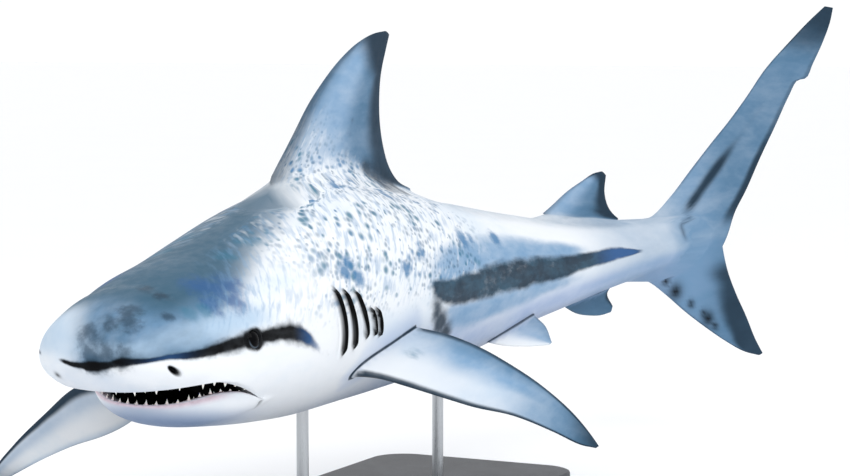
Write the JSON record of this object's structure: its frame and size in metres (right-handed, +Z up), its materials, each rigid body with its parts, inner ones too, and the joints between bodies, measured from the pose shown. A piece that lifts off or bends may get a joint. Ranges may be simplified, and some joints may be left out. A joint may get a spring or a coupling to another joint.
{
  "type": "bull shark",
  "caption": "Still life-size bull shark, swimming with its tail swung to its left and mouth a little open, held over a flat base by two short rods.",
  "frame": {"origin": "middle of the underside of the stand's base, on the floor", "axes": "+X from the snout towards the tail, -Y the animal's left, +Z up"},
  "size_m": [2.2667, 1.1326, 0.963],
  "materials": {
    "skin": "blue-grey back fading to white belly, fine satin skin with specks, wet sheen",
    "fins": "blue-grey with dusky tips and hind margins, satin",
    "eye": "polished dark eye with a pale lower rim",
    "stand_base": "fine-textured dark grey powder coat",
    "stand_rods": "brushed"
  },
  "bodies": {
    "root": {"head": "skin", "lower_jaw": "skin", "trunk": "skin", "tail_stock": "skin", "first_dorsal_fin": "fins", "second_dorsal_fin": "fins", "anal_fin": "fins", "pectoral_fin_left": "fins", "pectoral_fin_right": "fins", "pelvic_fin_left": "fins", "pelvic_fin_right": "fins", "caudal_fin_upper": "fins", "caudal_fin_lower": "fins", "eye_left": "eye", "eye_right": "eye", "stand_base": "stand_base", "stand_rod_front": "stand_rods", "stand_rod_rear": "stand_rods"}
  },
  "joints": []
}
